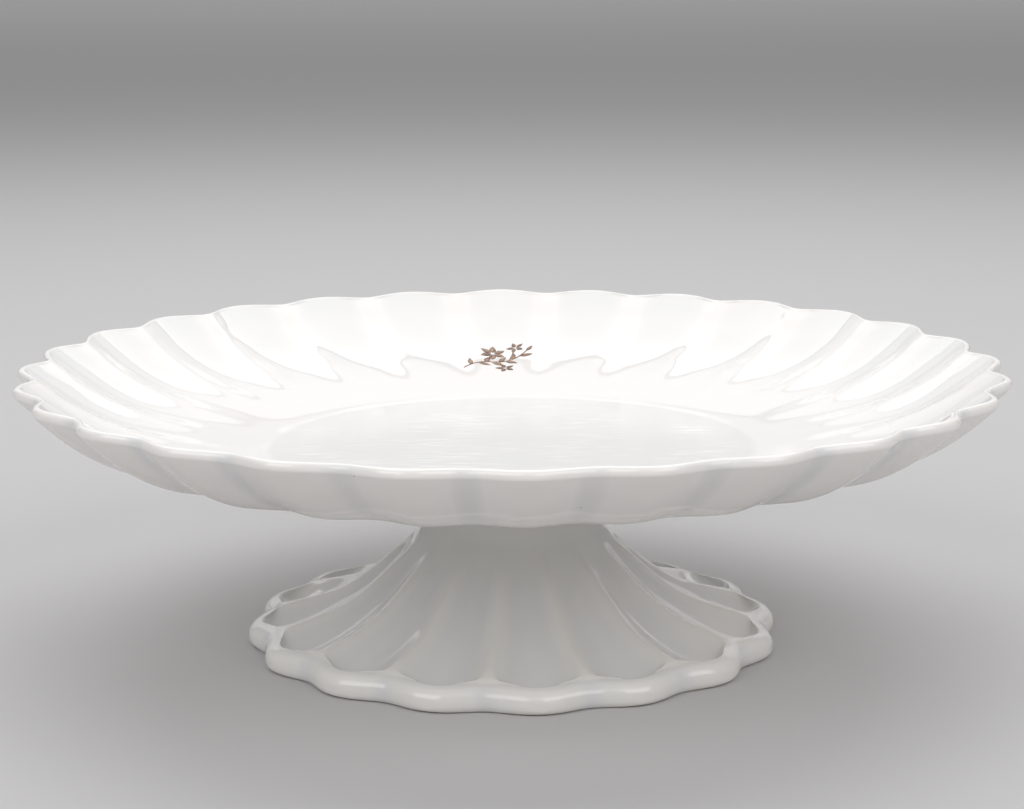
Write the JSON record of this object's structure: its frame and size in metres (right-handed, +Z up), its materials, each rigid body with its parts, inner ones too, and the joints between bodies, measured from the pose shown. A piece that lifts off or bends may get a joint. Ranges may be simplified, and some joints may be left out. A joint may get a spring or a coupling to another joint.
{
  "type": "cake stand",
  "caption": "Low scalloped cake stand in white glazed earthenware: a shallow fluted dish with a flat floor on a hollow, flared, fluted pedestal.",
  "frame": {"origin": "on the table plane, under the middle of the foot", "axes": "+Z up through the pedestal and the middle of the dish; -Y is the front, and the print is on the back wall at +Y"},
  "size_m": [0.2898, 0.2898, 0.0833],
  "materials": {
    "white_glaze": "gloss",
    "glazed_slip": "gloss",
    "brown_underglaze_print": "gloss"
  },
  "bodies": {
    "root": {"dish": "white_glaze", "pedestal": "white_glaze", "luting_ring": "glazed_slip", "inner_coil": "glazed_slip", "transfer_print": "brown_underglaze_print"}
  },
  "joints": []
}
